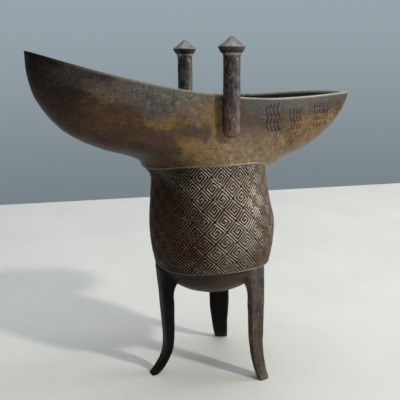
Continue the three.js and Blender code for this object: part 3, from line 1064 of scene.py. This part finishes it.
def bowl_bronze():
    """The shell's bronze: black at the end of the spout, a cool grey film with specks on the upper
    middle, worn ochre low on the bowl, mauve grey on the tail, a bright lip that is partly worn and
    partly painted highlight, a painted reflection along the keel, painted light under the near
    post, painted shade on the round bottom, dirt in the cut strokes and a dull dark inside."""
    paint = patina()
    bronze = Bronze("bowl_bronze")
    net, lay, blot, step = bronze.net, bronze.lay, bronze.blot, bronze.net.step
    x, grain, patch, mottle = bronze.x, bronze.grain, bronze.patch, bronze.mottle
    drift_x, drift_z = bronze.drift_x, bronze.drift_z
    hull = step(bronze.z, 99, 102)
    warm = step(bronze.streak + (grain - 0.5) * 0.5, 0.34, 0.66)
    warm_stains = (
        (paint.red, 0.3 + warm * 0.4, -50, 126, 26, 14),
        (paint.ochre, 0.25 + warm * 0.35, -38, 126, 28, 12),
        (paint.ochre, 0.55 + warm * 0.3, -12, 125, 22, 15),
        (paint.ochre, 0.45, -22, 108, 16, 7, 0),
    )
    bronze.lay_blots(warm_stains, hull)
    lay(step(drift_x * -1, 52, 76) * 0.62, paint.dark)
    lay(blot(-46, 139.5, 13, 5, 0) * (0.45 + warm * 0.35), paint.tan)
    film = blot(-23, 138.5, 27, 11.5) * 0.9 + blot(-54, 145, 24, 6) * 0.3
    lay(film * (0.55 + 0.45 * step(grain, 0.3, 0.6)), paint.grey)
    lay(blot(-20, 140, 15, 6, 0) * 0.3, paint.stone)
    golden = step(drift_x, -27, -9) * hull
    golden = golden * step(drift_z + x * -0.16, 120, 112.5)
    lay(golden * step(grain, 0.25, 0.55) * 0.8, paint.gold)
    tail_side = step(drift_x, -1, 9)
    tail = tail_side * step(drift_z + x * -0.3, 106, 120)
    lay(tail * 0.85, paint.mauve)
    lay(tail_side * step(drift_z, 124, 133) * 0.55, paint.grey)
    lay(blot(34, 116, 22, 10, 0) * (0.2 + 0.4 * step(patch, 0.35, 0.6)), paint.brown)
    lay(blot(-13, 130, 12, 7) * 0.55, paint.tan)
    lay(blot(50, 119, 18, 6) * 0.22, paint.gold)
    lay(step(x, 42, 70) * hull * 0.35, paint.brown)
    golden_stains_and_light = (
        (paint.gold, 0.6, -9, 121, 9, 13),
        (paint.gold, 0.45, -31, 125, 6.5, 3.2, 0),
        (paint.gold, 0.65, -20, 115.5, 8, 3.6, 0),
        (paint.ochre, 0.4, -38, 113, 14, 7, 0),
        (paint.gold, 0.6, -12, 109, 9, 5, 0),
        # Painted light: a pale blot that lightens the wall under the near post, where its shadow
        # falls.
        (paint.bright, 0.2, 5, 112, 20, 8, 0),
    )
    bronze.lay_blots(golden_stains_and_light, hull)
    lay(golden * step(mottle, 0.5, 0.62) * 0.5, paint.brown)
    lay(golden * step(mottle, 0.46, 0.36) * 0.25, paint.bright)
    late_stains_and_light = (
        (paint.plum, 0.75, -15.5, 120, 6.5, 4.2),
        # Painted light: a tan blot that lightens the wall under the near post, where its shadow
        # falls.
        (paint.tan, step(patch, 0.36, 0.6) * 0.5, -2, 110, 20, 7),
        (paint.plum, 0.5, -29, 118, 8, 4),
        (paint.dark, 0.3, -34, 109, 14, 6),
        (paint.dark, 0.25, -58, 114, 26, 11),
    )
    bronze.lay_blots(late_stains_and_light, hull)
    # Painted reflection: a warm ochre line along the keel of the spout's and tail's undersides.
    keel = step(bronze.y * bronze.y, 30, 4)
    lay(keel * hull * 0.2, paint.ochre)
    # Painted shade on the round bottom: laid brown and dark, darkest on the spout side away from
    # the light, with ochre towards the tail.
    bottom = step(bronze.z, 57, 54)
    lay(bottom * 0.6, paint.brown)
    lay(bottom * (0.85 - step(drift_x, -24, 4) * 0.55), paint.dark)
    lay(bottom * step(drift_x, -16, 14) * 0.5, paint.ochre)
    scored = step(bronze.scratch, 0.6, 0.7)
    lay(scored * 0.16 * hull, paint.dust)
    lay(step(bronze.scratch, 0.4, 0.32) * 0.4 * hull, paint.dark)
    bronze.grit(0.4)
    pale = bronze.dusting(0.58, 0.74, film) * (0.08 + film * 0.28)
    flecks = bronze.specks(1.4, 0.3, 0.11, patch * 0.7 + film * 0.12 + 0.1)
    lay(pale, paint.dust)
    lay(flecks * (0.06 + film * 0.14), paint.dust)
    pits = bronze.specks(2.2, 0.3, 0.37, bronze.other * 0.8 + 0.14)
    lay(pits * 0.45, paint.dirt_and_shade)
    inside = step(net.attribute("inside"), 0.5, 0.9)
    lay(inside * 0.8, paint.dark)
    # The lip: partly worn metal and partly painted highlight, none at the spout's end and brightest
    # towards the tail, which faces the light.
    worn_lip_and_highlight = net.attribute("lip") * step(grain + bronze.cloud * 0.5, 0.5, 0.75)
    lip = worn_lip_and_highlight * (0.5 * step(x, -78, -50) + 0.5 * step(x, -12, 12))
    lay(lip * 0.95, paint.bright)
    lay(lip * 0.4, paint.dust)
    cut = net.attribute("cut")
    lay(step(cut, 0.25, 0.8) * 0.9, paint.dirt_and_shade)
    polish = golden * 0.5 + lip
    roughness = 0.48 + (grain - 0.5) * 0.35 - polish * 0.1 + inside * 0.2 + film * 0.08
    metallic = 0.3 + polish * 0.3 - inside * 0.2 - film * 0.1
    height = grain * 0.7 + bronze.fine * 0.35 + patch * 0.4 + pale * 0.1 - pits * 0.4
    return net.finish(bronze.paint, roughness, metallic, height - scored * 0.15, 0.2, 0.2)


def diaper_bronze():
    """The belly's bronze: dirt in the grooves, brown flanks and paler ridges that are partly worn
    and partly painted highlight, with more of them and paler lines and grooves on the side towards
    the light as painted light and browner ones on the side away from it as painted shade, and a
    reddish cloud near the spout."""
    paint = patina()
    bronze = Bronze("diaper_bronze")
    net, lay, blot, step = bronze.net, bronze.lay, bronze.blot, bronze.net.step
    grain, mottle, other = bronze.grain, bronze.mottle, bronze.other
    relief = net.attribute("relief")
    worn = net.attribute("worn")
    # Painted light and shade: a mask that is 1 towards the tail side, which faces the light, and 0
    # towards the spout; it makes lines and grooves paler there and browner away from the light.
    painted_light_side = step(bronze.drift_x, -22, -3)
    line = net.blend(painted_light_side, paint.brown, paint.tan)
    line = net.blend(step(bronze.patch, 0.5, 0.68) * 0.4 * painted_light_side, line, paint.grey)
    red = blot(-23, 76, 10, 15, 0.1) + blot(8, 61, 12, 6, 0.2) * 0.5
    line = net.blend(red * (0.4 + step(other, 0.36, 0.58) * 0.45), line, paint.red)
    ground = net.blend(0.08 + painted_light_side * 0.2 + grain * 0.3, paint.dirt_and_shade, paint.brown)
    ground = net.blend(painted_light_side * step(mottle, 0.4, 0.6) * 0.3, ground, paint.ochre)
    filled = step(bronze.drift_x * 0.92 + bronze.y * -0.38, 15, 27)
    ground = net.blend(filled * 0.5, ground, paint.mauve)
    top = step(relief + (grain - 0.5) * 0.5, 0.4, 0.95)
    bronze.paint = net.blend(top, ground, line)
    lay(step(other, 0.48, 0.66) * (0.45 - painted_light_side * 0.25), paint.brown)
    # Painted highlight: a broad blot on the lit side of the belly that makes its ridges paler.
    painted_highlight = blot(4, 88, 22, 24, 0)
    # How pale a ridge turns: real wear from the relief and the wear mask, plus painted light on the
    # lit side and from the painted highlight blot.
    wear_and_light = relief + worn * 0.35 + painted_light_side * 0.25 + painted_highlight * 0.35 + (grain - 0.5) * 1.1
    bright = step(wear_and_light, 1.0, 1.8) * (1 - red * 0.7) * (1 - filled * 0.8)
    lay(filled * 0.45, paint.mauve)
    lay(blot(12, 63, 14, 12, 0) * 0.4, paint.brown)
    lay(filled * step(mottle, 0.48, 0.6) * 0.5, paint.brown)
    lay(bright * (0.68 + painted_highlight * 0.15), paint.bright)
    bronze.grit(0.35)
    pale = bronze.specks(1.7, 0.3, 0.23, bronze.patch + 0.05)
    lay(pale * top * 0.45, paint.dust)
    roughness = 0.52 - bright * 0.1 + (grain - 0.5) * 0.35 + (1 - top) * 0.25
    metallic = 0.2 + top * 0.15 + bright * 0.2
    height = grain + bronze.fine * 0.5
    return net.finish(bronze.paint, roughness, metallic, height, 0.12, 0.18)


def post_bronze():
    """The posts' bronze: dark purplish grey with many specks, a red cloud at the foot, funnels
    under pale cones laid dark as painted shade, and bright worn edges."""
    paint = patina()
    bronze = Bronze("post_bronze", upright=True)
    net, lay, step = bronze.net, bronze.lay, bronze.net.step
    grain, patch, mottle = bronze.grain, bronze.patch, bronze.mottle
    lay(0.8, paint.plum)
    lay(step(patch, 0.4, 0.6) * 0.8, paint.grey)
    lay(step(mottle, 0.5, 0.6) * 0.6, paint.dark)
    lay(step(mottle, 0.5, 0.38) * 0.5, paint.stone)
    low = step(bronze.z, 142, 116)
    lay(low * step(bronze.other, 0.3, 0.55) * 0.65, paint.rust)
    cap = net.attribute("cap")
    cone = step(bronze.z + (grain - 0.5) * 0.5, 155.5, 156.2)
    funnel = cap * (1 - cone)
    # Painted shade: the funnels under the caps' wide edges are laid nearly black.
    lay(funnel * 0.95, paint.dirt_and_shade)
    lay(cone * step(grain, 0.3, 0.6) * 0.8, paint.stone)
    lay(cone * step(mottle, 0.5, 0.62) * 0.6, paint.tan)
    bronze.grit(0.6)
    pale = bronze.dusting(0.57, 0.7, patch)
    lay(pale * 0.3, paint.dust)
    flecks = bronze.specks(1.7, 0.32, 0.31, patch + 0.02)
    lay(flecks * 0.4, paint.dust)
    lip = net.attribute("lip") * (0.3 + 0.7 * step(grain + bronze.cloud * 0.5, 0.55, 0.8))
    lay(lip * 0.85, paint.bright)
    roughness = 0.37 + (grain - 0.5) * 0.4 - lip * 0.1 + funnel * 0.25
    metallic = 0.35 + lip * 0.4 - funnel * 0.3
    height = grain + bronze.fine * 0.6 + patch * 0.4 + pale * 0.2
    return net.finish(bronze.paint, roughness, metallic, height, 0.3, 0.5)


def leg_bronze():
    """The legs' bronze: smooth and nearly black, which is painted shade on the legs out of the
    light, and grey-brown with dark clouds, as painted light, on the leg that stands in the light."""
    paint = patina()
    bronze = Bronze("leg_bronze", upright=True)
    net, lay, step = bronze.net, bronze.lay, bronze.net.step
    grain, patch, mottle = bronze.grain, bronze.patch, bronze.mottle
    # Painted shade: the whole leg is laid nearly black, and this stays on the legs out of the
    # light.
    lay(0.98, paint.dirt_and_shade)
    # Painted light: lighter colours are laid only on the front right leg, which stands in the
    # light.
    lit = step(bronze.x, 4, 9) * step(bronze.y, -5, -12)
    mottled = step(patch + (bronze.streak - 0.5) * 0.4, 0.3, 0.55)
    lay(lit * (0.5 + mottled * 0.4), paint.mauve)
    lay(lit * (0.15 + step(bronze.z, 34, 46) * 0.4), paint.grey)
    lay(lit * step(bronze.other, 0.5, 0.62) * 0.35, paint.brown)
    lay(lit * step(mottle, 0.52, 0.64) * 0.4, paint.dark)
    lay(lit * step(mottle, 0.48, 0.36) * 0.5, paint.tan)
    bronze.grit(0.3)
    pale = bronze.specks(1.9, 0.3, 0.41, bronze.other + 0.02)
    lay(pale * (0.02 + lit * 0.15), paint.dust)
    lip = net.attribute("lip") * step(grain + bronze.cloud * 0.5, 0.5, 0.8)
    # Brighter edges: worn metal, with more of it on the lit leg as painted highlight.
    lay(lip * (0.1 + lit * 0.35), paint.bright)
    roughness = 0.48 + (grain - 0.5) * 0.3
    metallic = 0.1 + lit * 0.2 + lip * 0.2
    height = grain + bronze.fine * 0.4 + patch * 0.5
    return net.finish(bronze.paint, roughness, metallic, height, 0.16, 0.08)


def pale_floor(tint):
    """A plain matt floor with a faint cloud in its colour."""
    net = Net("pale_floor")
    cloud = net.noise(60, detail=3)
    shade = tuple(part * 0.94 for part in tint)
    surface = net.blend(net.step(cloud, 0.3, 0.7), tint, shade)
    return net.finish(surface, 0.9, 0.0, net.noise(3, detail=2), 0.05)


class JUE_OT_shell(bpy.types.Operator):
    """Make the bowl, belly and bottom with their walls"""

    bl_idname = "jue.shell"
    bl_label = "Make shell"

    def execute(self, context):
        settle(build_shell(), bowl_bronze(), replaces=True)
        return {"FINISHED"}


class JUE_OT_diaper(bpy.types.Operator):
    """Make the spirals on the belly, in a near and a far half"""

    bl_idname = "jue.diaper"
    bl_label = "Make diaper"

    def execute(self, context):
        material = diaper_bronze()
        count = belly_sizes().lozenges
        middle = (count + 1) // 2
        for name, first, last in (("diaper_near", 0, middle), ("diaper_far", middle, count)):
            settle(build_diaper(name, first, last), material)
        return {"FINISHED"}


class JUE_OT_posts(bpy.types.Operator):
    """Make both posts with their caps and seams"""

    bl_idname = "jue.posts"
    bl_label = "Make posts"

    def execute(self, context):
        material = post_bronze()
        for name, side in (("near", -1), ("far", 1)):
            settle(build_post("post_" + name, side), material)
            settle(build_post_seam("post_seam_" + name, side), material)
        return {"FINISHED"}


class JUE_OT_legs(bpy.types.Operator):
    """Make the three legs"""

    bl_idname = "jue.legs"
    bl_label = "Make legs"

    def execute(self, context):
        material = leg_bronze()
        for name, sizes in LEGS.items():
            settle(build_leg(name, *sizes), material)
        return {"FINISHED"}


class JUE_OT_stage(bpy.types.Operator):
    """Make the floor, the lights and the camera"""

    bl_idname = "jue.stage"
    bl_label = "Make stage"

    def execute(self, context):
        stage = context.scene.jue_stage
        context.scene.view_settings.view_transform = "Standard"
        make_floor(stage)
        make_lights(stage)
        make_camera(stage)
        return {"FINISHED"}


def make_floor(stage):
    """A flat pale rectangle just under the soles: a grid of even steps, turned about the upright
    axis, so that its far edge runs as in the photograph."""
    steps = 9
    across, deep = np.meshgrid(np.linspace(-1, 1, steps), np.linspace(0, 1, steps))
    x = across * stage.floor_reach
    y = mix(-stage.floor_reach, stage.floor_depth, deep)
    cosine, sine = math.cos(stage.floor_turn), math.sin(stage.floor_turn)
    height = np.full_like(x, -0.1 * MM)
    points = np.stack((x * cosine - y * sine, x * sine + y * cosine, height), -1).reshape(-1, 3)
    row, column = np.meshgrid(np.arange(steps - 1), np.arange(steps - 1), indexing="ij")
    first = row * steps + column
    quads = np.stack((first, first + 1, first + steps + 1, first + steps), -1).reshape(-1, 4)
    floor = make_mesh("floor", points, quads, np.zeros((0, 3), int))
    floor.data.materials.append(pale_floor(tuple(stage.floor_colour)))


def make_lights(stage):
    """A small strong light high at the front right, which throws the soft-edged shadow to the
    back left, a broad window at the right, a broad ceiling and the glow of the surroundings."""
    lamps = (
        ("key_light", (0.757, -1.05, 0.983), 0.1, stage.key_power, (1.0, 0.95, 0.88)),
        ("window_light", (1.0, -0.28, 0.38), 0.55, stage.window_power, (1.0, 0.985, 0.96)),
        ("ceiling_light", (0.15, 0.1, 1.25), 1.1, stage.ceiling_power, (0.93, 0.97, 1.0)),
    )
    target = Vector((0, 0, 0.08))
    for name, place, size, power, tint in lamps:
        lamp = bpy.data.lights.new(name, "AREA")
        lamp.shape = "SQUARE"
        lamp.size = size
        lamp.energy = power
        lamp.color = tint
        holder = bpy.data.objects.new(name, lamp)
        aim = (Vector(place) - target).to_track_quat("Z", "Y").to_matrix().to_4x4()
        holder.matrix_world = Matrix.Translation(place) @ aim
        bpy.context.scene.collection.objects.link(holder)
    bpy.context.scene.world = surroundings(stage)


def surroundings(stage):
    """The world: a blue-grey backdrop that darkens downwards, and darker to the left."""
    world = bpy.data.worlds.new("surroundings")
    world.use_nodes = True
    world.node_tree.nodes.clear()
    net = Net("", world.node_tree)
    net.place = net.node("ShaderNodeTexCoord", output="Generated")
    x, _, z = net.split(net.place)
    tone = net.blend(net.step(z, -0.3, 0.12), stage.back_low, stage.back_high)
    tone = net.blend(net.step(x, -0.7, 0.02), stage.back_left, tone)
    glow = net.node("ShaderNodeBackground", None, {"Color": tone, "Strength": 1.0})
    net.node("ShaderNodeOutputWorld", None, {"Surface": glow}, output=None)
    return world


def make_camera(stage):
    """The photograph's camera: set back from the belly's axis, then turned, tilted and leaned."""
    data = bpy.data.cameras.new("camera")
    data.sensor_width = 36
    data.lens = stage.lens / MM
    camera = bpy.data.objects.new("camera", data)
    turned = Matrix.Rotation(-stage.azimuth, 4, "Z")
    back = Matrix.Translation((0, -stage.camera_distance, stage.camera_height))
    look = (
        Matrix.Rotation(stage.aside, 4, "Z")
        @ Matrix.Rotation(-stage.tilt, 4, "X")
        @ Matrix.Rotation(-stage.roll, 4, "Y")
        @ Matrix.Rotation(math.pi / 2, 4, "X")
    )
    camera.matrix_world = Matrix.Translation((axis_shift(), 0, 0)) @ turned @ back @ look
    bpy.context.scene.collection.objects.link(camera)
    bpy.context.scene.camera = camera


OPERATORS = (JUE_OT_shell, JUE_OT_diaper, JUE_OT_posts, JUE_OT_legs, JUE_OT_stage)
GROUPS = {
    "jue_bowl": JueBowlSizes,
    "jue_belly": JueBellySizes,
    "jue_posts": JuePostSizes,
    "jue_patina": JuePatina,
    "jue_stage": JueStage,
}


class JUE_PT_panel(bpy.types.Panel):
    """Lists the steps that build the vessel."""

    bl_idname = "JUE_PT_panel"
    bl_label = "Jue wine vessel"
    bl_space_type = "VIEW_3D"
    bl_region_type = "UI"
    bl_category = "Jue"

    def draw(self, context):
        for operator in OPERATORS:
            self.layout.operator(operator.bl_idname)


def register():
    for item in (*GROUPS.values(), *OPERATORS, JUE_PT_panel):
        bpy.utils.register_class(item)
    for name, group in GROUPS.items():
        setattr(bpy.types.Scene, name, PointerProperty(type=group))


def unregister():
    for name in GROUPS:
        delattr(bpy.types.Scene, name)
    for item in (JUE_PT_panel, *reversed(OPERATORS), *reversed(GROUPS.values())):
        bpy.utils.unregister_class(item)


def main():
    register()
    for step in ("shell", "diaper", "posts", "legs", "stage"):
        getattr(bpy.ops.jue, step)()


if __name__ == "__main__":
    main()
